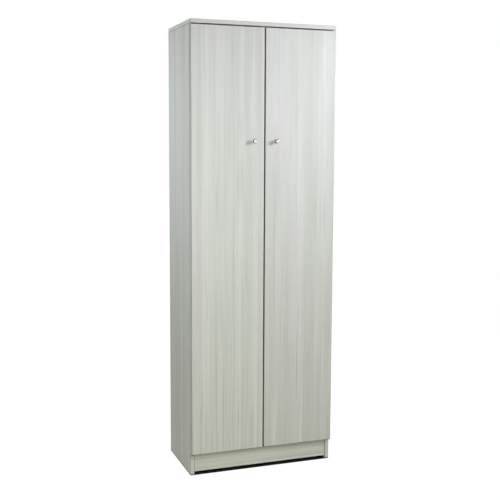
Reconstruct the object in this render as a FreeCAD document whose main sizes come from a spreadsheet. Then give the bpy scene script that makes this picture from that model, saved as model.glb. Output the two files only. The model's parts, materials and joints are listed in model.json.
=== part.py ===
import FreeCAD, Part
import os
import re

import Sketcher

# Tall two-door broom cupboard in flat-pack board, doors closed.
# Frame: +X right, +Y back, +Z up, in millimetres. The origin is on the floor, below the middle of
# the whole box, knobs included.

SIZES = {
    "width": (608, "outside width over the side panels"),
    "depth": (332, "from the front of the doors to the back edge"),
    "height": (1800, "floor to the top of the top panel"),
    "board": (16, "thickness of the melamine boards"),
    "edge_round": (1.2, "rounding of the banded edges"),
    "fit": (0.1, "clearance round each fastener"),
    "door_thickness": (16, "thickness of the doors"),
    "door_back_gap": (3, "air between the doors and the side panels"),
    "door_side_reveal": (1, "doors stand in from the outer faces of the sides"),
    "door_centre_gap": (5, "air between the two doors"),
    "door_top_gap": (4, "air between the doors and the top panel"),
    "door_bottom": (88, "lower edge of the doors above the floor"),
    "bottom_height": (86, "underside of the bottom panel above the floor"),
    "plinth_clearance": (13, "air below the plinth"),
    "plinth_setback": (3, "plinth behind the front edges of the sides"),
    "back_thickness": (3, "thickness of the back boards"),
    "back_sink": (1, "back boards in from the back edges"),
    "back_play": (0.5, "air at the edges of the back boards"),
    "rebate_width": (8, "width of the rebate for the back boards"),
    "shelf_setback": (22, "shelves behind the front edges of the sides"),
    "shelf_play": (1, "air at the ends and the back of a shelf"),
    "broom_shelf_drop": (284, "underside of the shelf over the brooms, below the top panel"),
    "peg_radius": (2.5, "shank of a shelf peg"),
    "peg_sink": (7, "depth of a peg in its hole"),
    "peg_reach": (9, "length of the tongue under the shelf"),
    "peg_half_width": (4, "half the width of the tongue"),
    "peg_tongue": (3, "thickness of the tongue"),
    "peg_collar": (0.8, "thickness of the collar against the wall"),
    "peg_collar_radius": (4.2, "radius of that collar"),
    "peg_inset": (40, "pegs in from the front and back of the shelf"),
    "hole_pitch": (32, "step between peg holes"),
    "dowel_radius": (4, "radius of a wooden dowel"),
    "dowel_length": (30, "length of a wooden dowel"),
    "dowel_bite": (10, "depth of a dowel in the face that it enters"),
    "dowel_step": (32, "distance from a cam bolt to its dowel"),
    "cam_radius": (7.4, "radius of a cam lock"),
    "cam_depth": (12, "depth of a cam lock in its board"),
    "cam_setback": (34, "distance of a cam lock from the joint"),
    "bolt_radius": (3, "shank of a cam bolt"),
    "bolt_thread_radius": (2.5, "threaded end of a cam bolt"),
    "bolt_thread": (11, "length of that threaded end"),
    "joint_inset": (60, "cam locks in from the front and back edges"),
    "plinth_joint_step": (16, "plinth fasteners above and below its middle"),
    "nail_radius": (0.8, "shank of a back nail"),
    "nail_length": (18, "length of a back nail below its head"),
    "nail_head_radius": (2.2, "head of a back nail"),
    "nail_head": (0.7, "thickness of that head"),
    "nail_inset": (45, "first and last nail in from the ends of a row"),
    "hinge_inset": (100, "outer hinges in from the ends of the door"),
    "pivot_inset": (6.8, "hinge pin in from the edge of the door"),
    "pivot_depth": (8.6, "hinge pin below the inner face of the door"),
    "hinge_pin_radius": (1, "radius of the hinge pin"),
    "hinge_pin_half": (9, "half the length of the hinge pin"),
    "pin_play": (0.05, "air round the pin in the eye of the arm"),
    "pocket_radius": (17.5, "radius of the cup pocket in the door"),
    "cup_edge": (3, "wood between the cup pocket and the door edge"),
    "cup_depth": (11.9, "depth of the cup below the inner face"),
    "cup_wall": (1, "wall and floor of the cup"),
    "flange_thickness": (1.2, "flange of the cup on the door"),
    "flange_lip": (1.2, "flange beyond the pocket"),
    "flange_reach": (12.3, "flange wings from the middle of the cup"),
    "flange_half": (30, "half the height of the flange wings"),
    "cup_screw_offset": (6, "cup screws from the middle of the cup, inwards"),
    "cup_screw_half": (24, "cup screws above and below the cup"),
    "eye_radius": (2, "outer radius of the eye of the arm"),
    "arm_half": (3, "half the height of the neck of the arm"),
    "neck_reach": (14, "neck of the arm, from the pin inwards"),
    "neck_under": (1.7, "neck of the arm, below the pin"),
    "neck_over": (0.5, "neck of the arm, above the pin"),
    "arm_thickness": (2, "thickness of the strap of the arm"),
    "arm_wide_half": (6.5, "half the height of the strap on its plate"),
    "arm_wide_start": (5, "strap widens this far behind the side's edge"),
    "arm_length": (52, "end of the strap behind the side's edge"),
    "plate_half": (8, "half the height of the mounting plate"),
    "plate_start": (18, "front of the mounting plate behind the side's edge"),
    "plate_length": (38, "length of the mounting plate"),
    "wing_half": (23, "half the height over the plate's wings"),
    "wing_half_width": (6, "half the width of the plate's wings"),
    "wing_thickness": (2.5, "thickness of the plate's wings"),
    "plate_screw_setback": (37, "plate screws behind the side's edge"),
    "plate_screw_half": (16, "plate screws above and below the arm"),
    "arm_screw_setback": (46, "screw through arm and plate behind the side's edge"),
    "arm_screw_bite": (3, "depth of that screw in the plate"),
    "screw_radius": (1.6, "shank of a chipboard screw"),
    "screw_bite": (10, "depth of a chipboard screw in the board"),
    "screw_head_radius": (3.3, "head of a chipboard screw"),
    "screw_head": (1.4, "thickness of that head"),
    "knob_offset": (46.5, "knobs from the middle of the cupboard"),
    "knob_height": (1338, "knobs above the floor"),
    "knob_reach": (24, "knob in front of the door"),
    "knob_foot_radius": (7, "radius of the foot of the knob"),
    "knob_foot": (2, "thickness of the foot of the knob"),
    "knob_neck_radius": (6, "radius of the neck of the knob"),
    "knob_neck_end": (9, "end of the neck from the door"),
    "knob_head_radius": (7.8, "radius of the head of the knob"),
    "knob_head_start": (14, "start of the full head from the door"),
    "knob_round": (1.8, "rounding of the front edge of the knob"),
    "knob_bore": (10, "depth of the threaded hole in the knob"),
    "knob_screw_radius": (2, "shank of the knob screw"),
    "knob_screw_bite": (8, "length of that screw in the knob"),
    "knob_screw_head_radius": (4, "head of the knob screw"),
    "knob_screw_head": (2.2, "thickness of that head"),
    "catch_height": (1400, "middle of the magnetic catches above the floor"),
    "catch_half": (22, "half the height of a catch"),
    "catch_width": (13, "catch out from the face of the partition"),
    "catch_length": (15, "length of a catch, front to back"),
    "magnet_half": (14, "half the height of the magnet"),
    "magnet_width": (6, "width of the magnet"),
    "magnet_sink": (5, "magnet behind the front of the catch"),
    "magnet_stand": (1.4, "magnet in front of the catch"),
    "catch_screw_half": (18, "catch screws above and below its middle"),
    "catch_screw_bite": (7, "depth of a catch screw in the partition"),
    "strike_half": (24, "half the height of the strike plate"),
    "strike_screw_half": (19, "strike screws above and below its middle"),
    "strike_width": (11, "width of the strike plate"),
    "strike_thickness": (1.2, "thickness of the strike plate"),
    "bumper_radius": (2.7, "radius of a door bumper"),
    "bumper_play": (0.3, "air between a bumper and the partition"),
    "bumper_inset": (70, "bumpers in from the ends of the door"),
    "bracket_half": (16, "half the width of a wall bracket"),
    "bracket_leg": (30, "legs of a wall bracket"),
    "bracket_thickness": (2, "sheet of a wall bracket"),
    "bracket_screw_half": (9, "bracket screws either side of its middle"),
    "wall_hole_radius": (2.5, "hole for the wall screw"),
    "wall_hole_drop": (18, "wall hole below the top panel"),
}

SHELVES = 4
NAILS_PER_EDGE = 7
NAILS_PER_END = 2
BOARD_EDGES = [f"Edge{number}" for number in range(1, 13)]

# Planes that many pieces share, as formulas in the words above.
FRONT = "(knob_reach - depth) / 2"
BACK = "(knob_reach + depth) / 2"
DOOR_REAR = f"{FRONT} + door_thickness"
SIDE_FRONT = f"{DOOR_REAR} + door_back_gap"
BACK_REAR = f"{BACK} - back_sink"
BACK_FRONT = f"{BACK_REAR} - back_thickness"
LID = "height - board"
DECK = "bottom_height + board"
DOOR_TOP = f"{LID} - door_top_gap"
PIVOT_IN = "door_side_reveal + pivot_inset"
PIVOT_Y = f"{DOOR_REAR} - pivot_depth"
CUP_IN = "door_side_reveal + cup_edge + pocket_radius"
STRAP_IN = f"{PIVOT_IN} + neck_reach"
PLATE_IN = f"{STRAP_IN} - arm_thickness"
SIDES = ("left", "right")
OUTWARD = {"left": "-x", "right": "+x"}
INWARD = {"left": "+x", "right": "-x"}
ENDS = (("low", "-z"), ("high", "+z"))

TURNS = {
    "+x": FreeCAD.Rotation(FreeCAD.Vector(0, 1, 0), 90),
    "-x": FreeCAD.Rotation(FreeCAD.Vector(0, 1, 0), -90),
    "+y": FreeCAD.Rotation(FreeCAD.Vector(1, 0, 0), -90),
    "-y": FreeCAD.Rotation(FreeCAD.Vector(1, 0, 0), 90),
    "+z": FreeCAD.Rotation(),
    "-z": FreeCAD.Rotation(FreeCAD.Vector(1, 0, 0), 180),
}
WORD = re.compile(r"[a-z]+(?:_[a-z]+)*")

doc = FreeCAD.newDocument("broom_cupboard")
sheet = doc.addObject("Spreadsheet::Sheet", "Sizes")
for row, (word, (value, meaning)) in enumerate(SIZES.items(), 1):
    sheet.set(f"A{row}", word)
    sheet.set(f"B{row}", str(value))
    sheet.setAlias(f"B{row}", word)
    sheet.set(f"C{row}", meaning)
doc.recompute()

nodes = []
blanks = {}
drilled = {}
door_screws = {side: [] for side in SIDES}


def bind(thing, path, formula):
    """Tie one property to a formula in the words of the sheet."""
    thing.setExpression(path, WORD.sub(lambda word: "Sizes." + word.group(), formula))


def place(thing, at):
    for axis, formula in zip("xyz", at):
        bind(thing, f"Placement.Base.{axis}", formula)


def shift(at, way, formula):
    """The point moved by a formula along +x, -x, +y and so on."""
    moved = list(at)
    axis = "xyz".index(way[1])
    moved[axis] = f"{moved[axis]} {way[0]} ({formula})"
    return moved


def reverse(way):
    return ("-" if way[0] == "+" else "+") + way[1]


def inward(side, formula):
    """X of a point that lies so far in from the outer face of that side panel."""
    return f"-width / 2 + ({formula})" if side == "left" else f"width / 2 - ({formula})"


def inward_span(side, near, far):
    ends = (inward(side, near), inward(side, far))
    return ends if side == "left" else ends[::-1]


def around(middle, half):
    return (f"{middle} - ({half})", f"{middle} + ({half})")


def box(name, x, y, z):
    """A block between two formulas along each axis."""
    block = doc.addObject("Part::Box", name)
    for size, (low, high) in zip(("Length", "Width", "Height"), (x, y, z)):
        bind(block, size, f"({high}) - ({low})")
    place(block, (x[0], y[0], z[0]))
    return block


def rod(name, radius, length, start, way):
    """A cylinder from its start point along a way."""
    cylinder = doc.addObject("Part::Cylinder", name)
    cylinder.Placement.Rotation = TURNS[way]
    bind(cylinder, "Radius", radius)
    bind(cylinder, "Height", length)
    place(cylinder, start)
    return cylinder


def fuse(name, pieces):
    if len(pieces) == 1:
        return pieces[0]
    whole = doc.addObject("Part::MultiFuse", name)
    whole.Shapes = pieces
    return whole


def cut(name, base, tools):
    rest = doc.addObject("Part::Cut", name)
    rest.Base = base
    rest.Tool = fuse(name + "_tools", tools)
    return rest


def node(label, piece):
    piece.Label = label
    nodes.append(piece)


def group(label, pieces):
    """Identical loose pieces in one node."""
    whole = doc.addObject("Part::Compound", label + "_group")
    whole.Links = pieces
    node(label, whole)


def board(name, x, y, z):
    """A board with lightly rounded edges. Its holes and rebates are cut at the end."""
    body = doc.addObject("PartDesign::Body", name + "_blank")
    slab = body.newObject("PartDesign::AdditiveBox", name + "_slab")
    for size, (low, high) in zip(("Length", "Width", "Height"), (x, y, z)):
        bind(slab, size, f"({high}) - ({low})")
    place(body, (x[0], y[0], z[0]))
    doc.recompute()
    easing = body.newObject("PartDesign::Fillet", name + "_easing")
    easing.Base = (slab, BOARD_EDGES)
    bind(easing, "Radius", "edge_round")
    blanks[name] = body
    drilled[name] = []


def drill(tool, *names):
    for name in names:
        drilled[name].append(tool)


def screw(name, start, way, through, bite, host, radius="screw_radius"):
    """A pan-head screw: its head stands on start, its shank runs along way into the host board."""
    length = f"({through}) + ({bite})"
    head = rod(name + "_head", "screw_head_radius", "screw_head", start, reverse(way))
    shank = rod(name + "_shank", radius, length, start, way)
    hole = rod(name + "_hole", f"{radius} + fit", length, start, way)
    if host:
        drill(hole, host)
    return fuse(name, [head, shank]), hole


# Carcass boards
CARCASS_Y = (SIDE_FRONT, BACK)
INNER_Y = (SIDE_FRONT, BACK_FRONT)
INNER_X = (inward("left", "board"), inward("right", "board"))
for side in SIDES:
    board(f"{side}_side_panel", inward_span(side, "0", "board"), CARCASS_Y, ("0", LID))
    rebate = box(
        f"{side}_rebate",
        inward_span(side, "board - rebate_width", "board + edge_round"),
        (BACK_FRONT, f"{BACK} + edge_round"),
        ("-edge_round", f"{LID} + edge_round"),
    )
    drill(rebate, f"{side}_side_panel")
board("top_panel", (inward("left", "0"), inward("right", "0")), (FRONT, BACK), (LID, "height"))
drill(
    box(
        "top_rebate",
        (inward("left", "board - rebate_width"), inward("right", "board - rebate_width")),
        (BACK_FRONT, f"{BACK} + edge_round"),
        (f"{LID} - edge_round", f"{LID} + rebate_width"),
    ),
    "top_panel",
)
board("bottom_panel", INNER_X, INNER_Y, ("bottom_height", DECK))
board("partition", around("0", "board / 2"), INNER_Y, (DECK, LID))
PLINTH_FRONT = f"{SIDE_FRONT} + plinth_setback"
board("plinth", INNER_X, (PLINTH_FRONT, f"{PLINTH_FRONT} + board"), ("plinth_clearance", "bottom_height"))
for side in SIDES:
    board_edge = inward(side, "board - rebate_width + back_play")
    back_ends = (board_edge, "-back_play / 2") if side == "left" else ("back_play / 2", board_edge)
    back_z = ("bottom_height", f"{LID} + rebate_width - back_play")
    drilled[f"back_panel_{side}"] = []
    blanks[f"back_panel_{side}"] = box(
        f"back_panel_{side}_blank", back_ends, (BACK_FRONT, BACK_REAR), back_z
    )

# Cam locks, bolts and dowels at the carcass joints
cams, bolts, dowels = [], [], []


def cam_joint(name, host, mate, at, run, face):
    """A cam let into the host's face pulls a bolt that is screwed into the mate."""
    middle = shift(at, reverse(run), "cam_setback")
    floor = shift(middle, face, "board / 2 - cam_depth")
    channel = rod(f"{name}_channel", "bolt_radius + fit", "cam_setback", middle, run)
    lock = rod(f"{name}_cam_body", "cam_radius", "cam_depth", floor, face)
    cams.append(cut(f"{name}_cam", lock, [channel]))
    stem = rod(f"{name}_stem", "bolt_radius", "cam_setback", middle, run)
    thread = rod(f"{name}_thread", "bolt_thread_radius", "bolt_thread", at, run)
    bolts.append(fuse(f"{name}_bolt", [stem, thread]))
    pocket = rod(f"{name}_pocket", "cam_radius + fit", "cam_depth + edge_round", floor, face)
    drill(fuse(f"{name}_seat", [channel, pocket]), host)
    drill(rod(f"{name}_mate", "bolt_thread_radius + fit", "bolt_thread", at, run), mate)


def dowel_joint(name, host, mate, at, run):
    start = shift(at, reverse(run), "dowel_length - dowel_bite")
    dowels.append(rod(f"{name}_dowel", "dowel_radius", "dowel_length", start, run))
    drill(rod(f"{name}_dowel_hole", "dowel_radius + fit", "dowel_length", start, run), host, mate)


JOINT_ROWS = (
    ("front", f"{SIDE_FRONT} + joint_inset", "+y"),
    ("rear", f"{BACK_FRONT} - joint_inset", "-y"),
)
for row, row_y, towards_middle in JOINT_ROWS:
    for side in SIDES:
        out = OUTWARD[side]
        top_at = (inward(side, "board / 2"), row_y, LID)
        cam_joint(f"{side}_{row}_top", f"{side}_side_panel", "top_panel", top_at, "+z", reverse(out))
        top_dowel = shift(top_at, towards_middle, "dowel_step")
        dowel_joint(f"{side}_{row}_top", f"{side}_side_panel", "top_panel", top_dowel, "+z")
        low_at = (inward(side, "board"), row_y, "bottom_height + board / 2")
        cam_joint(f"{side}_{row}_low", "bottom_panel", f"{side}_side_panel", low_at, out, "-z")
        low_dowel = shift(low_at, towards_middle, "dowel_step")
        dowel_joint(f"{side}_{row}_low", "bottom_panel", f"{side}_side_panel", low_dowel, out)
    for end, end_z, run, mate in (("top", LID, "+z", "top_panel"), ("low", DECK, "-z", "bottom_panel")):
        at = ("0", row_y, end_z)
        cam_joint(f"partition_{row}_{end}", "partition", mate, at, run, "+x")
        dowel_joint(f"partition_{row}_{end}", "partition", mate, shift(at, towards_middle, "dowel_step"), run)
for side in SIDES:
    plinth_middle = "(plinth_clearance + bottom_height) / 2"
    plinth_at = (inward(side, "board"), f"{PLINTH_FRONT} + board / 2", plinth_middle)
    cam_at = shift(plinth_at, "-z", "plinth_joint_step")
    cam_joint(f"{side}_plinth", "plinth", f"{side}_side_panel", cam_at, OUTWARD[side], "+y")
    dowel_at = shift(plinth_at, "+z", "plinth_joint_step")
    dowel_joint(f"{side}_plinth", "plinth", f"{side}_side_panel", dowel_at, OUTWARD[side])

# Shelves on pegs, with spare holes one step above and below
pegs = []
SHELF_Y = (f"{SIDE_FRONT} + shelf_setback", f"{BACK_FRONT} - shelf_play")
PEG_ROWS = (f"{SHELF_Y[0]} + peg_inset", f"{SHELF_Y[1]} - peg_inset")
BAYS = {
    "left": (("left_side_panel", inward("left", "board"), "-x"), ("partition", "-board / 2", "+x")),
    "right": (("partition", "board / 2", "-x"), ("right_side_panel", inward("right", "board"), "+x")),
}


def peg(name, wall, wall_x, into, y, underside):
    """A push-in shelf peg with a flat tongue, and its three holes."""
    axis = (wall_x, y, f"{underside} - peg_tongue / 2")
    shank = rod(f"{name}_shank", "peg_radius", "peg_sink", axis, into)
    collar = rod(f"{name}_collar", "peg_collar_radius", "peg_collar", axis, reverse(into))
    tip = shift(axis, reverse(into), "peg_reach")[0]
    tongue_x = (tip, wall_x) if into == "+x" else (wall_x, tip)
    tongue_z = (f"{underside} - peg_tongue", underside)
    tongue = box(f"{name}_tongue", tongue_x, around(y, "peg_half_width"), tongue_z)
    pegs.append(fuse(name, [shank, collar, tongue]))
    for step in (-1, 0, 1):
        hole_at = shift(axis, "+z", f"{step} * hole_pitch")
        drill(rod(f"{name}_hole_{step + 2}", "peg_radius + fit", "peg_sink", hole_at, into), wall)


def shelf(label, bay, underside):
    (_, low_x, _), (_, high_x, _) = BAYS[bay]
    span = (f"{low_x} + shelf_play", f"{high_x} - shelf_play")
    board(label, span, SHELF_Y, (underside, f"{underside} + board"))
    for wall, wall_x, into in BAYS[bay]:
        for number, y in enumerate(PEG_ROWS, 1):
            peg(f"{label}_{wall}_peg_{number}", wall, wall_x, into, y, underside)


shelf("broom_bay_shelf", "left", f"{LID} - broom_shelf_drop")
for number in range(1, SHELVES + 1):
    pitch = f"({LID} - bottom_height) / {SHELVES + 1}"
    shelf(f"shelf_{number}", "right", f"bottom_height + {number} * {pitch}")

# Nails through the back boards
nails = []


def nail(name, x, z, back, host):
    start = (x, BACK_REAR, z)
    head = rod(f"{name}_head", "nail_head_radius", "nail_head", start, "+y")
    shank = rod(f"{name}_shank", "nail_radius", "nail_length", start, "-y")
    nails.append(fuse(name, [head, shank]))
    drill(rod(f"{name}_hole", "nail_radius + fit", "nail_length", start, "-y"), back, host)


for side in SIDES:
    back = f"back_panel_{side}"
    edge_x = inward(side, "board - rebate_width / 2")
    middle_x = shift(("0", "", ""), OUTWARD[side], "board / 4")[0]
    for number in range(NAILS_PER_EDGE):
        rise = f"{DECK} + nail_inset"
        z = f"{rise} + {number} * ({LID} - nail_inset - ({rise})) / {NAILS_PER_EDGE - 1}"
        nail(f"{side}_edge_nail_{number}", edge_x, z, back, f"{side}_side_panel")
        nail(f"{side}_middle_nail_{number}", middle_x, z, back, "partition")
    for number in range(1, NAILS_PER_END + 1):
        share = f"{number} * (width / 2 - board) / {NAILS_PER_END + 1}"
        x = inward(side, f"board + {share}")
        nail(f"{side}_top_nail_{number}", x, f"{LID} + rebate_width / 2", back, "top_panel")
        nail(f"{side}_low_nail_{number}", x, "bottom_height + board / 2", back, "bottom_panel")

# Wall brackets under the top panel, one in each bay
bracket_screws = []
for side in SIDES:
    bracket_x = inward(side, "(board + width / 2) / 2")
    foot = box(
        f"{side}_bracket_foot",
        around(bracket_x, "bracket_half"),
        (f"{BACK_FRONT} - bracket_leg", BACK_FRONT),
        (f"{LID} - bracket_thickness", LID),
    )
    leg = box(
        f"{side}_bracket_leg",
        around(bracket_x, "bracket_half"),
        (f"{BACK_FRONT} - bracket_thickness", BACK_FRONT),
        (f"{LID} - bracket_leg", LID),
    )
    wall_at = (bracket_x, f"{BACK_FRONT} - bracket_thickness", f"{LID} - wall_hole_drop")
    wall_run = "bracket_thickness + back_thickness"
    wall_hole = rod(f"{side}_wall_hole", "wall_hole_radius", wall_run, wall_at, "+y")
    drill(wall_hole, f"back_panel_{side}")
    holes = [wall_hole]
    for way in ("-x", "+x"):
        middle = (bracket_x, f"{BACK_FRONT} - bracket_leg / 2", f"{LID} - bracket_thickness")
        start = shift(middle, way, "bracket_screw_half")
        name = f"{side}_bracket_screw_{'left' if way == '-x' else 'right'}"
        piece, hole = screw(name, start, "+z", "bracket_thickness", "screw_bite", "top_panel")
        bracket_screws.append(piece)
        holes.append(hole)
    shape = fuse(f"{side}_bracket_shape", [foot, leg])
    node(f"wall_bracket_{side}", cut(f"{side}_bracket", shape, holes))
group("wall_bracket_screws", bracket_screws)

# Doors
for side in SIDES:
    far = "-door_centre_gap / 2" if side == "left" else "door_centre_gap / 2"
    near = inward(side, "door_side_reveal")
    span = (near, far) if side == "left" else (far, near)
    board(f"{side}_door", span, (FRONT, DOOR_REAR), ("door_bottom", DOOR_TOP))

# Cup hinges, three to a door, each turning on one pin
HINGE_ROWS = {
    "low": "door_bottom + hinge_inset",
    "middle": f"(door_bottom + {DOOR_TOP}) / 2",
    "high": f"{DOOR_TOP} - hinge_inset",
}


def hinge_cup(name, side, z, pin):
    """The cup, its flange and the two screws that hold it in the door."""
    door = f"{side}_door"
    middle = (inward(side, CUP_IN), DOOR_REAR, z)
    floor = shift(middle, "-y", "cup_depth")
    drill(rod(f"{name}_pocket", "pocket_radius", "cup_depth + fit + edge_round",
              shift(floor, "-y", "fit"), "+y"), door)
    shell = rod(f"{name}_shell", "pocket_radius - fit", "cup_depth", floor, "+y")
    disc = rod(f"{name}_disc", "pocket_radius + flange_lip", "flange_thickness", middle, "+y")
    wings = box(
        f"{name}_wings",
        inward_span(side, CUP_IN, f"{CUP_IN} + flange_reach"),
        (DOOR_REAR, f"{DOOR_REAR} + flange_thickness"),
        around(z, "flange_half"),
    )
    hollow = rod(f"{name}_hollow", "pocket_radius - fit - cup_wall", "cup_depth + flange_thickness",
                 shift(floor, "+y", "cup_wall"), "+y")
    holes = []
    for end, way in ENDS:
        start = shift(shift(middle, way, "cup_screw_half"), INWARD[side], "cup_screw_offset")
        start = shift(start, "+y", "flange_thickness")
        piece, hole = screw(f"{name}_screw_{end}", start, "-y", "flange_thickness", "screw_bite", door)
        door_screws[side].append(piece)
        holes.append(hole)
    shape = fuse(f"{name}_shape", [shell, disc, wings])
    node(name, cut(f"{name}_cut", shape, [hollow, pin] + holes))


def hinge_arm(name, side, z, arm_hole):
    """The arm: an eye on the pin, a neck out of the cup and a strap along the side panel."""
    neck_z = around(z, "arm_half")
    eye_start = shift((inward(side, PIVOT_IN), PIVOT_Y, z), "-z", "arm_half")
    eye = rod(f"{name}_eye", "eye_radius", "2 * arm_half", eye_start, "+z")
    bore = rod(f"{name}_bore", "hinge_pin_radius + pin_play", "2 * arm_half", eye_start, "+z")
    neck = box(
        f"{name}_neck",
        inward_span(side, PIVOT_IN, STRAP_IN),
        (f"{PIVOT_Y} - neck_under", f"{PIVOT_Y} + neck_over"),
        neck_z,
    )
    rise = box(
        f"{name}_rise",
        inward_span(side, PLATE_IN, STRAP_IN),
        (f"{PIVOT_Y} - neck_under", f"{SIDE_FRONT} + arm_wide_start"),
        neck_z,
    )
    strap = box(
        f"{name}_strap",
        inward_span(side, PLATE_IN, STRAP_IN),
        (f"{SIDE_FRONT} + arm_wide_start", f"{SIDE_FRONT} + arm_length"),
        around(z, "arm_wide_half"),
    )
    node(name, cut(f"{name}_cut", fuse(f"{name}_shape", [eye, neck, rise, strap]), [bore, arm_hole]))


def hinge_plate(name, side, z, arm_hole):
    """The mounting plate on the side panel and its two screws."""
    bar_y = (f"{SIDE_FRONT} + plate_start", f"{SIDE_FRONT} + plate_start + plate_length")
    bar = box(f"{name}_bar", inward_span(side, "board", PLATE_IN), bar_y, around(z, "plate_half"))
    wings = box(
        f"{name}_wings",
        inward_span(side, "board", "board + wing_thickness"),
        around(f"{SIDE_FRONT} + plate_screw_setback", "wing_half_width"),
        around(z, "wing_half"),
    )
    holes, screws = [arm_hole], []
    for end, way in ENDS:
        middle = (inward(side, "board + wing_thickness"), f"{SIDE_FRONT} + plate_screw_setback", z)
        start = shift(middle, way, "plate_screw_half")
        piece, hole = screw(f"{name}_screw_{end}", start, OUTWARD[side], "wing_thickness",
                            "screw_bite", f"{side}_side_panel")
        screws.append(piece)
        holes.append(hole)
    node(name, cut(f"{name}_cut", fuse(f"{name}_shape", [bar, wings]), holes))
    return screws


for side in SIDES:
    pins, plate_screws, arm_screws = [], [], []
    for row, z in HINGE_ROWS.items():
        pin_start = shift((inward(side, PIVOT_IN), PIVOT_Y, z), "-z", "hinge_pin_half")
        pin = rod(f"{side}_{row}_pin", "hinge_pin_radius", "2 * hinge_pin_half", pin_start, "+z")
        pins.append(pin)
        arm_at = (inward(side, STRAP_IN), f"{SIDE_FRONT} + arm_screw_setback", z)
        arm_screw, arm_hole = screw(f"{side}_{row}_arm_screw", arm_at, OUTWARD[side], "arm_thickness",
                                    "arm_screw_bite", None)
        arm_screws.append(arm_screw)
        hinge_cup(f"{side}_hinge_cup_{row}", side, z, pin)
        hinge_arm(f"{side}_hinge_arm_{row}", side, z, arm_hole)
        plate_screws += hinge_plate(f"{side}_hinge_plate_{row}", side, z, arm_hole)
    group(f"{side}_hinge_pins", pins)
    group(f"{side}_hinge_plate_screws", plate_screws + arm_screws)

# Knobs, turned, each held by a screw from inside the door
KNOB_PROFILE = (
    ("knob_screw_radius", None),
    ("knob_foot_radius", None),
    ("knob_foot_radius", "knob_foot"),
    ("knob_neck_radius", "knob_foot"),
    ("knob_neck_radius", "knob_neck_end"),
    ("knob_head_radius", "knob_head_start"),
    ("knob_head_radius", "knob_reach"),
    (None, "knob_reach"),
    (None, "knob_bore"),
    ("knob_screw_radius", "knob_bore"),
)


def origin_feature(body, role):
    return next(item for item in body.Origin.OriginFeatures if item.Role == role)


def knob_body(name):
    """The knob turned about its own Z axis, foot at zero."""
    body = doc.addObject("PartDesign::Body", name + "_body")
    profile = body.newObject("Sketcher::SketchObject", name + "_profile")
    profile.AttachmentSupport = (origin_feature(body, "XZ_Plane"), [""])
    profile.MapMode = "FlatFace"
    corners = [
        FreeCAD.Vector(SIZES[radius][0] if radius else 0, SIZES[rise][0] if rise else 0, 0)
        for radius, rise in KNOB_PROFILE
    ]
    count = len(corners)
    for number in range(count):
        profile.addGeometry(Part.LineSegment(corners[number], corners[(number + 1) % count]), False)
    for number in range(count):
        profile.addConstraint(Sketcher.Constraint("Coincident", number, 2, (number + 1) % count, 1))
    for number, (radius, rise) in enumerate(KNOB_PROFILE):
        for kind, word, axis in (("DistanceX", radius, -2), ("DistanceY", rise, -1)):
            if word is None:
                profile.addConstraint(Sketcher.Constraint("PointOnObject", number, 1, axis))
                continue
            value = SIZES[word][0]
            index = profile.addConstraint(Sketcher.Constraint(kind, -1, 1, number, 1, value))
            bind(profile, f"Constraints[{index}]", word)
    turned = body.newObject("PartDesign::Revolution", name + "_turned")
    turned.Profile = profile
    turned.ReferenceAxis = (profile, ["V_Axis"])
    turned.Angle = 360
    doc.recompute()
    rim = [
        f"Edge{number}"
        for number, edge in enumerate(turned.Shape.Edges, 1)
        if min(vertex.Z for vertex in edge.Vertexes) > sheet.knob_reach - sheet.fit
        and max(vertex.X for vertex in edge.Vertexes) > sheet.knob_head_radius - sheet.fit
        and isinstance(edge.Curve, Part.Circle)
    ]
    easing = body.newObject("PartDesign::Fillet", name + "_easing")
    easing.Base = (turned, rim)
    bind(easing, "Radius", "knob_round")
    return body


for side in SIDES:
    knob_x = shift(("0", "", ""), OUTWARD[side], "knob_offset")[0]
    knob = knob_body(f"{side}_knob")
    knob.Placement.Rotation = TURNS["-y"]
    place(knob, (knob_x, FRONT, "knob_height"))
    node(f"{side}_knob", knob)
    head_at = (knob_x, DOOR_REAR, "knob_height")
    head = rod(f"{side}_knob_screw_head", "knob_screw_head_radius", "knob_screw_head", head_at, "+y")
    reach = "door_thickness + knob_screw_bite"
    shank = rod(f"{side}_knob_screw_shank", "knob_screw_radius - fit", reach, head_at, "-y")
    node(f"{side}_knob_screw", fuse(f"{side}_knob_screw_shape", [head, shank]))
    drill(rod(f"{side}_knob_hole", "knob_screw_radius", reach, head_at, "-y"), f"{side}_door")

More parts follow.
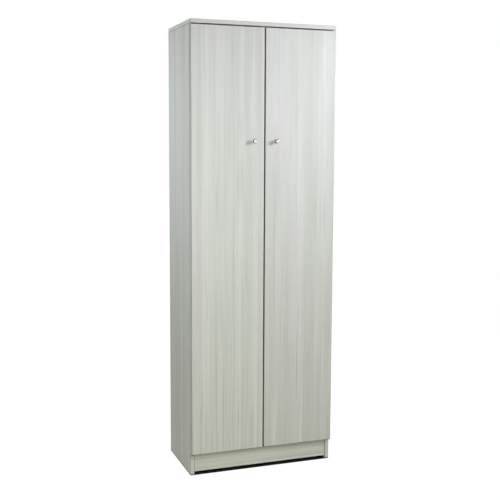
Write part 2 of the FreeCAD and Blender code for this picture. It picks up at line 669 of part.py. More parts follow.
# Magnetic catches on the partition, strike plates and bumpers on the doors
magnets, catch_screws = [], []
for side in SIDES:
    out = OUTWARD[side]
    wall = shift(("0", "", ""), out, "board / 2")[0]
    door_edge = shift(("0", "", ""), out, "door_centre_gap / 2")[0]
    catch_z = around("catch_height", "catch_half")
    outer = shift((wall, "", ""), out, "catch_width")[0]
    catch_x = (outer, wall) if side == "left" else (wall, outer)
    case = box(f"{side}_catch_case", catch_x, (SIDE_FRONT, f"{SIDE_FRONT} + catch_length"), catch_z)
    centre = shift((wall, "", ""), out, "catch_width / 2")[0]
    magnet = box(
        f"{side}_magnet",
        around(centre, "magnet_width / 2"),
        (f"{SIDE_FRONT} - magnet_stand", f"{SIDE_FRONT} + magnet_sink"),
        around("catch_height", "magnet_half"),
    )
    magnets.append(magnet)
    holes = [magnet]
    for end, way in ENDS:
        middle = (outer, f"{SIDE_FRONT} + (catch_length + magnet_sink) / 2", "catch_height")
        start = shift(middle, way, "catch_screw_half")
        piece, hole = screw(f"{side}_catch_screw_{end}", start, INWARD[side], "catch_width",
                            "catch_screw_bite", "partition")
        catch_screws.append(piece)
        holes.append(hole)
    node(f"{side}_catch", cut(f"{side}_catch_body", case, holes))
    strike = box(
        f"{side}_strike",
        around(centre, "strike_width / 2"),
        (DOOR_REAR, f"{DOOR_REAR} + strike_thickness"),
        around("catch_height", "strike_half"),
    )
    holes = []
    for end, way in ENDS:
        start = shift((centre, f"{DOOR_REAR} + strike_thickness", "catch_height"), way, "strike_screw_half")
        piece, hole = screw(f"{side}_strike_screw_{end}", start, "-y", "strike_thickness",
                            "screw_bite", f"{side}_door")
        door_screws[side].append(piece)
        holes.append(hole)
    node(f"{side}_strike_plate", cut(f"{side}_strike_cut", strike, holes))
    group(f"{side}_door_screws", door_screws[side])
    bumper_x = shift(("0", "", ""), out, "(door_centre_gap + board) / 4")[0]
    bumpers = []
    for end, z in (("low", "door_bottom + bumper_inset"), ("high", f"{DOOR_TOP} - bumper_inset")):
        seat = (bumper_x, DOOR_REAR, z)
        pad = "door_back_gap - bumper_play"
        bumpers.append(rod(f"{side}_bumper_{end}", "bumper_radius", pad, seat, "+y"))
    group(f"{side}_door_bumpers", bumpers)
group("catch_magnets", magnets)
group("catch_screws", catch_screws)

group("cam_locks", cams)
group("cam_bolts", bolts)
group("dowels", dowels)
group("shelf_pegs", pegs)
group("back_nails", nails)
for name, blank in blanks.items():
    tools = drilled[name]
    node(name, cut(name + "_worked", blank, tools) if tools else blank)

doc.recompute()
faults = [item.Label for item in doc.Objects if {"Invalid", "Error"} & set(item.State)]
faults += [piece.Label for piece in nodes if piece.Shape.isNull() or not piece.Shape.isValid()]
if faults:
    raise RuntimeError("faulty pieces: " + ", ".join(faults))

os.makedirs("parts", exist_ok=True)
for piece in nodes:
    piece.Shape.exportStep(f"parts/{piece.Label}.step")
print(len(nodes), "nodes,", sum(len(piece.Shape.Solids) for piece in nodes), "solids")
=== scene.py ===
import json
import math
from collections import namedtuple

import bpy
from mathutils import Matrix, Vector


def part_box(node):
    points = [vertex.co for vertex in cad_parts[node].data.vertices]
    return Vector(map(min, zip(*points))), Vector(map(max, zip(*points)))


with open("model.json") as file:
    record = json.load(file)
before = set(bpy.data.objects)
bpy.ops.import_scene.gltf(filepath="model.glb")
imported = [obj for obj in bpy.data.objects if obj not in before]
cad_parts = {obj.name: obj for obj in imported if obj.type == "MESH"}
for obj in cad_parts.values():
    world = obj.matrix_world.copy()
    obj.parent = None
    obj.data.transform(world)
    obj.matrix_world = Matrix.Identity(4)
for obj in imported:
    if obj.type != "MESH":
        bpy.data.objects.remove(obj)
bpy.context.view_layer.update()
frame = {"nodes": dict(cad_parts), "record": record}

# Metres throughout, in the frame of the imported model: +X right, +Y back, +Z up.
NODES = frame["nodes"]
AXES = {"x": 0, "y": 1, "z": 2}

# Photograph's camera, fitted to the edges of the cupboard
FRAME_PIXELS = 500
SENSOR_MM = 36.0
FOCAL_PIXELS = 873.93
OPTICAL_ROW = 240.0
CAMERA_YAW = math.radians(19.827)
CAMERA_PITCH = math.radians(6.131)
CAMERA_ROLL = math.radians(-0.23)
CAMERA_FROM_DOOR_CORNER = Vector((-0.9303, -3.2547, 1.3188))

# The sRGB curve, and the Mix node's sockets when it mixes colours
SRGB_KNEE = 0.04045
SRGB_SLOPE = 12.92
SRGB_OFFSET = 0.055
SRGB_POWER = 2.4
MIX_FACTOR = 0
MIX_FIRST = 6
MIX_SECOND = 7
MIX_RESULT = 2
SHADER = "Principled BSDF"


# Helpers for node materials
def material(name):
    """A new node material, its node tree and its shader."""
    made = bpy.data.materials.new(name)
    made.use_nodes = True
    return made, made.node_tree, made.node_tree.nodes[SHADER]


def add(tree, kind, inputs=None, **settings):
    """A node with its settings, and with values or links on its inputs."""
    made = tree.nodes.new(kind)
    for key, value in settings.items():
        setattr(made, key, value)
    for key, value in (inputs or {}).items():
        if isinstance(value, bpy.types.NodeSocket):
            tree.links.new(value, made.inputs[key])
        else:
            made.inputs[key].default_value = value
    return made


def math_node(tree, operation, first, second=0.0, clamp=False):
    values = {0: first, 1: second}
    return add(tree, "ShaderNodeMath", values, operation=operation, use_clamp=clamp).outputs[0]


def mix_colour(tree, factor, first, second):
    sockets = {MIX_FACTOR: factor, MIX_FIRST: first, MIX_SECOND: second}
    return add(tree, "ShaderNodeMix", sockets, data_type="RGBA").outputs[MIX_RESULT]


def ramp(tree, factor, low, high):
    """A factor stretched so that low becomes 0 and high becomes 1."""
    return add(tree, "ShaderNodeMapRange", {0: factor, 1: low, 2: high, 3: 0.0, 4: 1.0}).outputs[0]


def split(tree, vector):
    """The x, y and z of a vector."""
    return add(tree, "ShaderNodeSeparateXYZ", {0: vector}).outputs


def object_point(tree):
    return add(tree, "ShaderNodeTexCoord").outputs["Object"]


def object_normal(tree):
    return add(tree, "ShaderNodeTexCoord").outputs["Normal"]


def noise(tree, point, scale, detail=2.0, roughness=0.5):
    """Noise with its own scale per metre along each axis."""
    scaled = add(tree, "ShaderNodeVectorMath", {0: point, 1: scale}, operation="MULTIPLY").outputs[0]
    settings = {"Vector": scaled, "Scale": 1.0, "Detail": detail, "Roughness": roughness}
    return add(tree, "ShaderNodeTexNoise", settings).outputs[0]


def even_noise(tree, scale, detail):
    """Noise with the same scale per metre along every axis."""
    return noise(tree, object_point(tree), [scale] * 3, detail)


def paint(tree, colour):
    """Puts a colour on the material's shader."""
    tree.links.new(colour, tree.nodes[SHADER].inputs["Base Color"])


def painted(tree):
    """The colour that is on the material's shader so far."""
    return tree.nodes[SHADER].inputs["Base Color"].links[0].from_socket


def roughen(tree, shader, pattern, swing, base):
    """A base roughness, and as much more as the swing where the pattern is strongest."""
    rough = math_node(tree, "ADD", math_node(tree, "MULTIPLY", pattern, swing), base)
    tree.links.new(rough, shader.inputs["Roughness"])


def bump(tree, shader, height, distance, strength):
    made = add(tree, "ShaderNodeBump", {"Height": height, "Distance": distance, "Strength": strength})
    tree.links.new(made.outputs[0], shader.inputs["Normal"])


def srgb(levels, less=0):
    """A colour given in display levels, each of them so much less, as the linear colour that nodes take."""
    def linear(level):
        share = (level - less) / 255
        if share <= SRGB_KNEE:
            return share / SRGB_SLOPE
        return ((share + SRGB_OFFSET) / (1 + SRGB_OFFSET)) ** SRGB_POWER
    return (*map(linear, levels), 1.0)


def darker(colour, share):
    return [channel * share for channel in colour[:3]] + [1.0]


# Printed boards. A pattern's width and length are in metres, and its noise is stretched from low to high.
Pattern = namedtuple("Pattern", "across length detail roughness low high")
BANDS = Pattern(0.036, 3.0, 3.0, 0.55, 0.36, 0.64)
STREAKS = Pattern(0.012, 1.6, 2.0, 0.5, 0.35, 0.65)
LINES = Pattern(0.0045, 0.7, 2.0, 0.5, 0.58, 0.74)
PORES = Pattern(0.0014, 0.04, 2.0, 0.6, 0.58, 0.74)
TINT = Pattern(0.07, 1.6, 1.0, 0.5, 0.45, 0.70)
PATCHES = Pattern(0.045, 0.35, 2.0, 0.5, 0.34, 0.66)
DRIFT_ACROSS = 0.25
DRIFT_LENGTH = 0.45
DRIFT_DETAIL = 1.0
DRIFT_MIDDLE = 0.5
SWAY = 0.014

# Tones of the print, in display levels
PALE_GREEN = (213, 215, 206)
PALE_GREY = (213, 212, 209)
DEEP_GREEN = (198, 202, 189)
DEEP_GREY = (201, 202, 195)
STREAK_TONE = (188, 192, 181)
LINE_TONE = (168, 171, 160)
PORE_TONE = (158, 161, 150)
# Painted shade and light: the side panels' deeper tones so many levels darker, the plinth's so many paler
SIDE_SHADE_DEPTH = 5
PLINTH_LIGHT_DEPTH = -16

# Strength of the print. From one height down to the other, streaks and lines grow stronger and steadier.
# Above, they come and go in patches.
STREAK_SHARE = 0.36
STREAK_SHARE_LOW = 0.34
LINE_SHARE = 0.44
LINE_SHARE_LOW = 0.40
PATCH_SWING = 1.4
PATCH_LEAST = 0.25
PORE_SHARE = 0.25
STRONGER_BELOW = 1.3
STRONGEST_BELOW = 0.2

# Dark lines where edge bands end, dark enough to paint the shade in gaps between boards, and painted shade
# lines at the doors' gaps and lower edges, the plinth's ends and the sides' foot, with their widths
EDGE_AND_SHADE_LINE_COLOUR = (0.10, 0.10, 0.085, 1.0)
EDGE_AND_GAP_SHADE_SHARE = 0.8
EDGE_FLAT = 0.99
EDGE_ROUND = 0.92
MEETING_GAP_SHADE = 0.0032
MEETING_GAP_SHADE_SHARE = 0.7
OUTER_GAP_SHADE = 0.0015
OUTER_GAP_SHADE_SHARE = 0.25
UNDER_DOOR_SHADOW = 0.003
UNDER_DOOR_SHADOW_SHARE = 0.85
PLINTH_END_SHADE = 0.0025
PLINTH_END_SHADE_SHARE = 0.45
FOOT_SHADOW = 0.006
FOOT_SHADOW_SHARE = 0.65

# Painted light: a paler, plainer band on the front edges of the side panels
LIT_BAND_TONE = (220, 221, 212)
LIT_BAND_SHARE = 0.5
BAND_FROM = -0.6
BAND_TO = -0.9

BOARD_ROUGH = 0.40
BOARD_ROUGH_SWING = 0.08
BOARD_SPECULAR = 0.35
PORE_DEPTH = 0.00012
PORE_BUMP = 0.5
FACING_LIMIT = 0.7


def along(axis, across, length):
    """Noise scale per metre for streaks so wide and so long, running along an axis."""
    scale = [1 / across] * 3
    scale[AXES[axis]] = 1 / length
    return scale


def edge_and_gap_shade_line(tree):
    """1 on the rounded edges of a board, where its edge band ends in a thin dark line, drawn dark enough to
    paint the shade in the gaps between boards.
    """
    sizes = add(tree, "ShaderNodeVectorMath", {0: object_normal(tree)}, operation="ABSOLUTE").outputs[0]
    parts = split(tree, sizes)
    most = math_node(tree, "MAXIMUM", math_node(tree, "MAXIMUM", parts[0], parts[1]), parts[2])
    return ramp(tree, most, EDGE_FLAT, EDGE_ROUND)


def swaying_point(tree, axis):
    """The surface point, pushed a little to the sides so that the grain wanders."""
    point = object_point(tree)
    drift = noise(tree, point, along(axis, DRIFT_ACROSS, DRIFT_LENGTH), DRIFT_DETAIL)
    sway = math_node(tree, "MULTIPLY", math_node(tree, "SUBTRACT", drift, DRIFT_MIDDLE), SWAY)
    push = [0.0 if letter == axis else sway for letter in AXES]
    offset = add(tree, "ShaderNodeCombineXYZ", dict(enumerate(push))).outputs[0]
    return add(tree, "ShaderNodeVectorMath", {0: point, 1: offset}, operation="ADD").outputs[0]


def grain_colour(tree, axis, depth=0):
    """Pale grey-green printed wood grain: broad bands, streaks and fine pores along one axis."""
    bent = swaying_point(tree, axis)

    def printed(pattern):
        scale = along(axis, pattern.across, pattern.length)
        raw = noise(tree, bent, scale, pattern.detail, pattern.roughness)
        return ramp(tree, raw, pattern.low, pattern.high)

    streaks = printed(STREAKS)
    pores = printed(PORES)
    tint = printed(TINT)
    pale = mix_colour(tree, tint, srgb(PALE_GREEN), srgb(PALE_GREY))
    deep = mix_colour(tree, tint, srgb(DEEP_GREEN, depth), srgb(DEEP_GREY, depth))
    colour = mix_colour(tree, printed(BANDS), pale, deep)
    height = split(tree, object_point(tree))[AXES["z"]]
    low = ramp(tree, height, STRONGER_BELOW, STRONGEST_BELOW)
    swing = math_node(tree, "ADD", math_node(tree, "MULTIPLY", printed(PATCHES), PATCH_SWING), PATCH_LEAST)
    settle = math_node(tree, "MULTIPLY", math_node(tree, "SUBTRACT", 1.0, swing), low)
    fade = math_node(tree, "ADD", swing, settle)
    for pattern, share, more, tone in (
        (streaks, STREAK_SHARE, STREAK_SHARE_LOW, STREAK_TONE),
        (printed(LINES), LINE_SHARE, LINE_SHARE_LOW, LINE_TONE),
    ):
        upper = math_node(tree, "MULTIPLY", fade, share)
        strength = math_node(tree, "ADD", math_node(tree, "MULTIPLY", low, more), upper)
        colour = mix_colour(tree, math_node(tree, "MULTIPLY", pattern, strength), colour, srgb(tone))
    speckled = math_node(tree, "MULTIPLY", pores, PORE_SHARE)
    return mix_colour(tree, speckled, colour, srgb(PORE_TONE)), streaks, pores


def melamine(name, axis, depth=0):
    """A board with the print's grain along one axis, and with dark lines on its rounded edges, part edge
    band and part painted shade in the gaps between boards.
    """
    made, tree, shader = material(name)
    colour, streaks, pores = grain_colour(tree, axis, depth)
    # The edge band's dark line, also painted shade in the gaps between boards
    edge = math_node(tree, "MULTIPLY", edge_and_gap_shade_line(tree), EDGE_AND_GAP_SHADE_SHARE)
    paint(tree, mix_colour(tree, edge, colour, EDGE_AND_SHADE_LINE_COLOUR))
    roughen(tree, shader, streaks, BOARD_ROUGH_SWING, BOARD_ROUGH)
    shader.inputs["Specular IOR Level"].default_value = BOARD_SPECULAR
    bump(tree, shader, math_node(tree, "SUBTRACT", 1.0, pores), PORE_DEPTH, PORE_BUMP)
    return made


def painted_shade_line(board, axis, test, limit, share):
    """Painted shade: a dark line on a board's print, where its distance from the origin along an axis
    passes the test.
    """
    tree = board.node_tree
    distance = math_node(tree, "ABSOLUTE", split(tree, object_point(tree))[AXES[axis]])
    line = math_node(tree, "MULTIPLY", math_node(tree, test, distance, limit), share)
    paint(tree, mix_colour(tree, line, painted(tree), EDGE_AND_SHADE_LINE_COLOUR))


def facing(tree, axis):
    """1 where the surface looks along +axis of its own object, 0 elsewhere."""
    return math_node(tree, "GREATER_THAN", split(tree, object_normal(tree))[AXES[axis]], FACING_LIMIT)


CHIP_SCALE = 260.0
CHIP_DETAIL = 3.0
FLAKE_SCALE = 420.0
FLAKE_SHARE = 0.6
CHIP_DARK = (150, 118, 82)
CHIP_LIGHT = (205, 177, 138)
FLAKE_TONE = (118, 88, 58)


def chipboard_colour(tree):
    flakes = add(tree, "ShaderNodeTexVoronoi", {"Vector": object_point(tree), "Scale": FLAKE_SCALE})
    chips = even_noise(tree, CHIP_SCALE, CHIP_DETAIL)
    tone = mix_colour(tree, chips, srgb(CHIP_DARK), srgb(CHIP_LIGHT))
    flaked = math_node(tree, "MULTIPLY", flakes.outputs[0], FLAKE_SHARE)
    return mix_colour(tree, flaked, tone, srgb(FLAKE_TONE))


def raw_backed_melamine(name, axis, depth=0):
    """The same board with its unbanded back edge left raw."""
    made = melamine(name, axis, depth)
    tree = made.node_tree
    paint(tree, mix_colour(tree, facing(tree, "y"), painted(tree), chipboard_colour(tree)))
    return made


def painted_light_front_band(board):
    """Painted light: a band on a board's front edge, plainer and paler than the print on its faces."""
    tree = board.node_tree
    front = ramp(tree, split(tree, object_normal(tree))[AXES["y"]], BAND_FROM, BAND_TO)
    band = math_node(tree, "MULTIPLY", front, LIT_BAND_SHARE)
    paint(tree, mix_colour(tree, band, painted(tree), srgb(LIT_BAND_TONE)))


FIBRE_SCALE = 380.0
FIBRE_DETAIL = 4.0
FIBRE_ROUGHNESS = 0.65
CLOUD_SCALE = 9.0
CLOUD_DETAIL = 5.0
CLOUD_ROUGHNESS = 0.6
CLOUD_LOW = 0.3
CLOUD_HIGH = 0.7
CLOUD_SHARE = 0.35
FIBRE_DARK = (108, 80, 56)
FIBRE_LIGHT = (150, 118, 86)
CLOUD_TONE = (112, 86, 62)
SCREEN_SCALE = 260.0
SCREEN_DEPTH = 0.0002
SCREEN_BUMP = 0.8
HARDBOARD_ROUGH = 0.6


def hardboard(name):
    """Thin back board: printed on the inside, brown with a wire-screen print behind."""
    made, tree, shader = material(name)
    printed, _, _ = grain_colour(tree, "z")
    point = object_point(tree)
    fibres = noise(tree, point, [FIBRE_SCALE] * 3, FIBRE_DETAIL, FIBRE_ROUGHNESS)
    clouds = noise(tree, point, [CLOUD_SCALE] * 3, CLOUD_DETAIL, CLOUD_ROUGHNESS)
    cloudy = math_node(tree, "MULTIPLY", ramp(tree, clouds, CLOUD_LOW, CLOUD_HIGH), CLOUD_SHARE)
    brown = mix_colour(tree, fibres, srgb(FIBRE_DARK), srgb(FIBRE_LIGHT))
    brown = mix_colour(tree, cloudy, brown, srgb(CLOUD_TONE))
    behind = facing(tree, "y")
    paint(tree, mix_colour(tree, behind, printed, brown))
    wires = [
        add(tree, "ShaderNodeTexWave", {"Vector": point, "Scale": SCREEN_SCALE}, bands_direction=way)
        for way in ("X", "Z")
    ]
    screen = math_node(tree, "MULTIPLY", wires[0].outputs[1], wires[1].outputs[1])
    shader.inputs["Roughness"].default_value = HARDBOARD_ROUGH
    bump(tree, shader, math_node(tree, "MULTIPLY", screen, behind), SCREEN_DEPTH, SCREEN_BUMP)
    return made


# Metals
Finish = namedtuple("Finish", "colour rough")
CHROME = Finish((0.88, 0.88, 0.89, 1.0), 0.09)
NICKEL_PLATE = Finish((0.62, 0.61, 0.59, 1.0), 0.28)
ZINC_PLATE = Finish((0.60, 0.61, 0.62, 1.0), 0.34)
CAST_ZINC = Finish((0.52, 0.52, 0.53, 1.0), 0.48)
FERRITE = Finish((0.10, 0.10, 0.105, 1.0), 0.5)
MARK_SCALE = 900.0
MARK_ACROSS = 0.0006
MARK_LENGTH = 0.02
MARK_DETAIL = 3.0
MARK_SHADE = 0.86
MARK_DEPTH = 0.00002
MARK_BUMP = 0.4
METAL_ROUGH_SHARE = 0.75
METAL_ROUGH_SWING = 0.5
# Painted dark reflection on the knobs' turned sides, nearly black with fine marks
PAINTED_DARK_REFLECTION_LOW = (0.03, 0.03, 0.03, 1.0)
PAINTED_DARK_REFLECTION_HIGH = (0.05, 0.05, 0.05, 1.0)
DARK_REFLECTION_SCALE = 700.0
TURNED_FROM = -0.96
TURNED_TO = -0.8


def metal(name, finish, streak_axis=None):
    """Bare or plated metal with fine handling marks."""
    made, tree, shader = material(name)
    shader.inputs["Metallic"].default_value = 1.0
    scale = along(streak_axis, MARK_ACROSS, MARK_LENGTH) if streak_axis else [MARK_SCALE] * 3
    marks = noise(tree, object_point(tree), scale, MARK_DETAIL)
    paint(tree, mix_colour(tree, marks, darker(finish.colour, MARK_SHADE), finish.colour))
    roughen(tree, shader, marks, finish.rough * METAL_ROUGH_SWING, finish.rough * METAL_ROUGH_SHARE)
    bump(tree, shader, marks, MARK_DEPTH, MARK_BUMP)
    return made


def chrome_with_painted_dark_sides(name):
    """Bright polished front; on the turned sides a nearly black colour, a painted dark reflection."""
    made = metal(name, CHROME)
    tree = made.node_tree
    turned = ramp(tree, split(tree, object_normal(tree))[AXES["y"]], TURNED_FROM, TURNED_TO)
    marks = even_noise(tree, DARK_REFLECTION_SCALE, MARK_DETAIL)
    dark = mix_colour(tree, marks, PAINTED_DARK_REFLECTION_LOW, PAINTED_DARK_REFLECTION_HIGH)
    # Painted reflection: the turned sides nearly black
    paint(tree, mix_colour(tree, turned, painted(tree), dark))
    return made


# Plastics and dowel wood
PEG_PLASTIC = Finish(srgb((226, 226, 220)), 0.42)
CATCH_PLASTIC = Finish(srgb((232, 231, 224)), 0.38)
SPECKLE_SCALE = 1500.0
SPECKLE_DETAIL = 2.0
SPECKLE_SHADE = 0.9
SPECKLE_ROUGH_SWING = 0.1
SPECKLE_DEPTH = 0.00003
SPECKLE_BUMP = 0.5
BEECH_SCALE = 700.0
BEECH_DETAIL = 3.0
BEECH_DARK = (190, 150, 104)
BEECH_LIGHT = (222, 188, 142)
BEECH_ROUGH = 0.6
BEECH_DEPTH = 0.0001
BEECH_BUMP = 0.5
PAD_SCALE = 800.0
PAD_DETAIL = 2.0
PAD_DARK = (205, 205, 198)
PAD_LIGHT = (228, 228, 222)
PAD_TRANSMISSION = 0.45
PAD_ROUGH = 0.35
PAD_DEPTH = 0.00003
PAD_BUMP = 0.4


def plastic(name, finish):
    made, tree, shader = material(name)
    speckle = even_noise(tree, SPECKLE_SCALE, SPECKLE_DETAIL)
    paint(tree, mix_colour(tree, speckle, darker(finish.colour, SPECKLE_SHADE), finish.colour))
    roughen(tree, shader, speckle, SPECKLE_ROUGH_SWING, finish.rough)
    bump(tree, shader, speckle, SPECKLE_DEPTH, SPECKLE_BUMP)
    return made


def beech(name):
    made, tree, shader = material(name)
    fibres = even_noise(tree, BEECH_SCALE, BEECH_DETAIL)
    paint(tree, mix_colour(tree, fibres, srgb(BEECH_DARK), srgb(BEECH_LIGHT)))
    shader.inputs["Roughness"].default_value = BEECH_ROUGH
    bump(tree, shader, fibres, BEECH_DEPTH, BEECH_BUMP)
    return made


def soft_pad(name):
    """Milky, half clear pad."""
    made, tree, shader = material(name)
    cloud = even_noise(tree, PAD_SCALE, PAD_DETAIL)
    paint(tree, mix_colour(tree, cloud, srgb(PAD_DARK), srgb(PAD_LIGHT)))
    shader.inputs["Transmission Weight"].default_value = PAD_TRANSMISSION
    shader.inputs["Roughness"].default_value = PAD_ROUGH
    bump(tree, shader, cloud, PAD_DEPTH, PAD_BUMP)
    return made


# Finishes by material slot, and by node where a board's grain or edges differ
UPRIGHT = melamine("melamine_upright", "z")
LEVEL = melamine("melamine_level", "x")
# The plinth's deeper tones paler, painted light; the side panels' darker, painted shade
PLINTH = melamine("melamine_plinth", "x", PLINTH_LIGHT_DEPTH)
UPRIGHT_RAW = raw_backed_melamine("melamine_upright_raw_back", "z", SIDE_SHADE_DEPTH)
LEVEL_RAW = raw_backed_melamine("melamine_level_raw_back", "x")
DOOR = melamine("melamine_door", "z")
# Painted shade in the gap between the doors, on their meeting edges
painted_shade_line(DOOR, "x", "LESS_THAN", MEETING_GAP_SHADE, MEETING_GAP_SHADE_SHARE)
# Painted shade in the gaps between the doors' outer edges and the side panels
painted_shade_line(DOOR, "x", "GREATER_THAN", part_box("right_door")[1][0] - OUTER_GAP_SHADE, OUTER_GAP_SHADE_SHARE)
# Painted shadow along the doors' lower edges, where they overhang the plinth
painted_shade_line(DOOR, "z", "LESS_THAN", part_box("left_door")[0][2] + UNDER_DOOR_SHADOW, UNDER_DOOR_SHADOW_SHARE)
# Painted shade at the plinth's ends, in the corners where it meets the side panels
painted_shade_line(PLINTH, "x", "GREATER_THAN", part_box("plinth")[1][0] - PLINTH_END_SHADE, PLINTH_END_SHADE_SHARE)
# Painted light on the side panels' front edges
painted_light_front_band(UPRIGHT_RAW)
# Painted shadow along the foot of the side panels, where they stand on the floor
painted_shade_line(UPRIGHT_RAW, "z", "LESS_THAN", FOOT_SHADOW, FOOT_SHADOW_SHARE)
SLOT_MATERIALS = {
    "melamine": UPRIGHT,
    "back_board": hardboard("back_hardboard"),
    "chrome": chrome_with_painted_dark_sides("chrome_with_painted_dark_sides"),
    "hinge_steel": metal("nickel_plate", NICKEL_PLATE, "y"),
    "fastener_steel": metal("zinc_plate", ZINC_PLATE),
    "zinc": metal("die_cast_zinc", CAST_ZINC),
    "dowel_wood": beech("beech_dowel"),
    "peg_plastic": plastic("peg_plastic", PEG_PLASTIC),
    "catch_plastic": plastic("catch_plastic", CATCH_PLASTIC),
    "magnet": metal("ferrite_magnet", FERRITE),
    "bumper": soft_pad("clear_bumper"),
}
NODE_MATERIALS = {
    "left_door": DOOR,
    "right_door": DOOR,
    "left_side_panel": UPRIGHT_RAW,
    "right_side_panel": UPRIGHT_RAW,
    "top_panel": LEVEL_RAW,
    "bottom_panel": LEVEL,
    "plinth": PLINTH,
    "broom_bay_shelf": LEVEL,
    "shelf_1": LEVEL,
    "shelf_2": LEVEL,
    "shelf_3": LEVEL,
    "shelf_4": LEVEL,
}


def dress_nodes():
    """Each carried-over node gets the finish of its slot, or of its own name."""
    for entry in frame["record"]["subparts"]:
        piece = NODES[entry["node"]]
        finish = NODE_MATERIALS.get(entry["node"], SLOT_MATERIALS[entry["material_slot"]])
        piece.data.materials.clear()
        piece.data.materials.append(finish)


# Stage: a white floor and surroundings
FLOOR_HALF = 15.0
FLOOR_DROP = 0.0002
FLOOR_WHITE_NEAR = 0.93
FLOOR_WHITE_FAR = 1.0
FLOOR_NEAR = 0.5
FLOOR_FAR = 2.2
FLOOR_BACK_LIGHT = 0.4
FLOOR_SHADOW_ALBEDO = 0.16
FLOOR_BOUNCE = (0.55, 0.55, 0.49, 1.0)
FLOOR_UNDER_SHARE = 0.25
SKY_TOP = (0.12, 0.12, 0.12, 1.0)
SKY_LOW = (0.09, 0.09, 0.085, 1.0)
SKY_LOW_RISE = -0.3
SKY_TOP_RISE = 0.9
WHITE = (1.0, 1.0, 1.0, 1.0)


def seen_directly(tree):
    """1 for camera, mirror and glass rays, which see the white studio."""
    path = add(tree, "ShaderNodeLightPath")
    rays = math_node(tree, "ADD", path.outputs["Is Camera Ray"], path.outputs["Is Glossy Ray"])
    return math_node(tree, "ADD", rays, path.outputs["Is Transmission Ray"], clamp=True)


def choose(tree, otherwise, directly):
    """A shader for light that bounces, and another for rays that see the studio directly."""
    sockets = {0: seen_directly(tree), 1: otherwise.outputs[0], 2: directly.outputs[0]}
    return add(tree, "ShaderNodeMixShader", sockets).outputs[0]


def floor_shade(tree, place):
    """Painted shade under the cupboard, with painted light towards its back: 1 under its middle, less
    towards its back, 0 on the open floor.
    """
    low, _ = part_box("left_side_panel")
    _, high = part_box("right_side_panel")
    inside = 1.0
    for axis in (AXES["x"], AXES["y"]):
        after = math_node(tree, "GREATER_THAN", place[axis], low[axis])
        before = math_node(tree, "LESS_THAN", place[axis], high[axis])
        inside = math_node(tree, "MULTIPLY", math_node(tree, "MULTIPLY", after, before), inside)
    backward = ramp(tree, place[AXES["y"]], 0.0, high[AXES["y"]])
    back_light = math_node(tree, "MULTIPLY", backward, FLOOR_BACK_LIGHT)
    return math_node(tree, "MULTIPLY", inside, math_node(tree, "SUBTRACT", 1.0, back_light))


def floor():
    """A pale floor: white to the camera, with the cupboard's shadow and a space beneath it darkened by
    painted shade.
    """
    mesh = bpy.data.meshes.new("studio_floor")
    ways = ((-1, -1), (1, -1), (1, 1), (-1, 1))
    corners = [(x * FLOOR_HALF, y * FLOOR_HALF, -FLOOR_DROP) for x, y in ways]
    mesh.from_pydata(corners, [], [(0, 1, 2, 3)])
    piece = bpy.data.objects.new("studio_floor", mesh)
    bpy.context.scene.collection.objects.link(piece)
    made, tree, shader = material("studio_floor")
    tree.nodes.remove(shader)
    point = object_point(tree)
    open_floor = math_node(tree, "SUBTRACT", 1.0, floor_shade(tree, split(tree, point)))
    away = add(tree, "ShaderNodeVectorMath", {0: point}, operation="LENGTH").outputs["Value"]
    spread = {0: away, 1: FLOOR_NEAR, 2: FLOOR_FAR, 3: FLOOR_WHITE_NEAR, 4: FLOOR_WHITE_FAR}
    level = add(tree, "ShaderNodeMapRange", spread).outputs[0]
    white = add(tree, "ShaderNodeEmission", {"Strength": math_node(tree, "MULTIPLY", open_floor, level)})
    lit = math_node(tree, "MAXIMUM", open_floor, FLOOR_UNDER_SHARE)
    grey = math_node(tree, "MULTIPLY", lit, FLOOR_SHADOW_ALBEDO)
    shadow = add(tree, "ShaderNodeBsdfDiffuse", {"Color": grey})
    shown = add(tree, "ShaderNodeAddShader", {0: white.outputs[0], 1: shadow.outputs[0]})
    bounce = add(tree, "ShaderNodeBsdfDiffuse", {"Color": FLOOR_BOUNCE})
    tree.links.new(choose(tree, bounce, shown), tree.nodes["Material Output"].inputs["Surface"])
    mesh.materials.append(made)


def studio_world():
    """Soft light from all round, stronger from above. The camera sees plain white."""
    world = bpy.data.worlds.new("studio")
    bpy.context.scene.world = world
    world.use_nodes = True
    tree = world.node_tree
    tree.nodes.clear()
    way = split(tree, add(tree, "ShaderNodeTexCoord").outputs["Generated"])
    rise = ramp(tree, way[AXES["z"]], SKY_LOW_RISE, SKY_TOP_RISE)
    soft = add(tree, "ShaderNodeBackground", {"Color": mix_colour(tree, rise, SKY_LOW, SKY_TOP)})
    white = add(tree, "ShaderNodeBackground", {"Color": WHITE})
    output = add(tree, "ShaderNodeOutputWorld")
    tree.links.new(choose(tree, soft, white), output.inputs["Surface"])


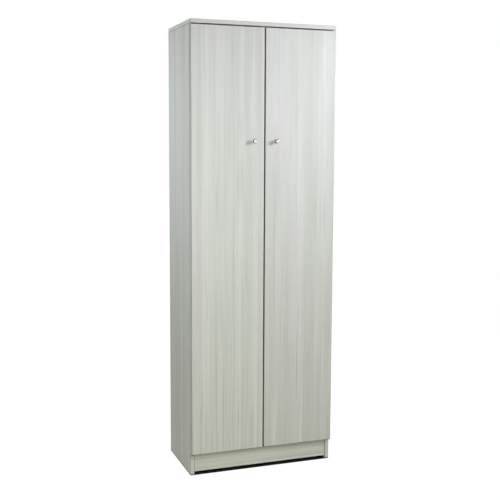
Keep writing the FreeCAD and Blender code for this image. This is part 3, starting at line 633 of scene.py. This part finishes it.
# Round lamps: place and target, width in metres, power in watts, colour, cone in degrees
Lamp = namedtuple("Lamp", "name place target size power colour cone")
LAMPS = (
    Lamp("key", (1.15, -1.25, 1.75), (0.1, -0.15, 1.4), 0.28, 20.3, (0.89, 0.88, 1.0), 180),
    Lamp("front", (-0.45, -1.5, 1.3), (-0.1, -0.15, 1.2), 0.7, 11.0, (0.97, 0.98, 1.0), 180),
    Lamp("low", (-1.3, -2.1, 0.5), (-0.15, -0.1, 0.1), 0.6, 1.32, (1.0, 1.0, 0.72), 60),
    Lamp("side", (-1.4, 0.3, 1.6), (-0.304, 0.0, 1.3), 0.7, 4.38, (0.89, 0.94, 1.0), 120),
    Lamp("back", (0.6, 2.8, 1.6), (0.0, 0.2, 1.1), 1.2, 7.0, (1.0, 1.0, 1.0), 60),
    Lamp("right", (2.4, 0.7, 1.7), (0.3, 0.0, 1.1), 1.0, 5.0, (1.0, 1.0, 1.0), 70),
    Lamp("over", (0.0, 0.02, 3.2), (0.0, 0.02, 1.8), 0.5, 1.0, (1.0, 1.0, 1.0), 40),
)


def area_light(lamp):
    data = bpy.data.lights.new(lamp.name, "AREA")
    data.shape = "DISK"
    data.size = lamp.size
    data.energy = lamp.power
    data.color = lamp.colour
    data.spread = math.radians(lamp.cone)
    piece = bpy.data.objects.new(lamp.name, data)
    piece.location = lamp.place
    piece.rotation_mode = "QUATERNION"
    piece.rotation_quaternion = (Vector(lamp.target) - Vector(lamp.place)).to_track_quat("-Z", "Y")
    bpy.context.scene.collection.objects.link(piece)


def camera():
    """The photograph's viewpoint, measured from the lower left corner of the door fronts."""
    data = bpy.data.cameras.new("photo_camera")
    data.sensor_width = SENSOR_MM
    data.lens = FOCAL_PIXELS / FRAME_PIXELS * SENSOR_MM
    data.shift_y = (OPTICAL_ROW - FRAME_PIXELS / 2) / FRAME_PIXELS
    piece = bpy.data.objects.new("photo_camera", data)
    corner = Vector((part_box("left_side_panel")[0][0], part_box("left_door")[0][1], 0.0))
    turn = (
        Matrix.Rotation(-CAMERA_YAW, 4, "Z")
        @ Matrix.Rotation(math.pi / 2 - CAMERA_PITCH, 4, "X")
        @ Matrix.Rotation(-CAMERA_ROLL, 4, "Z")
    )
    piece.matrix_world = Matrix.Translation(corner + CAMERA_FROM_DOOR_CORNER) @ turn
    bpy.context.scene.collection.objects.link(piece)
    bpy.context.scene.camera = piece


dress_nodes()
floor()
studio_world()
for each in LAMPS:
    area_light(each)
camera()
bpy.context.scene.view_settings.view_transform = "Standard"
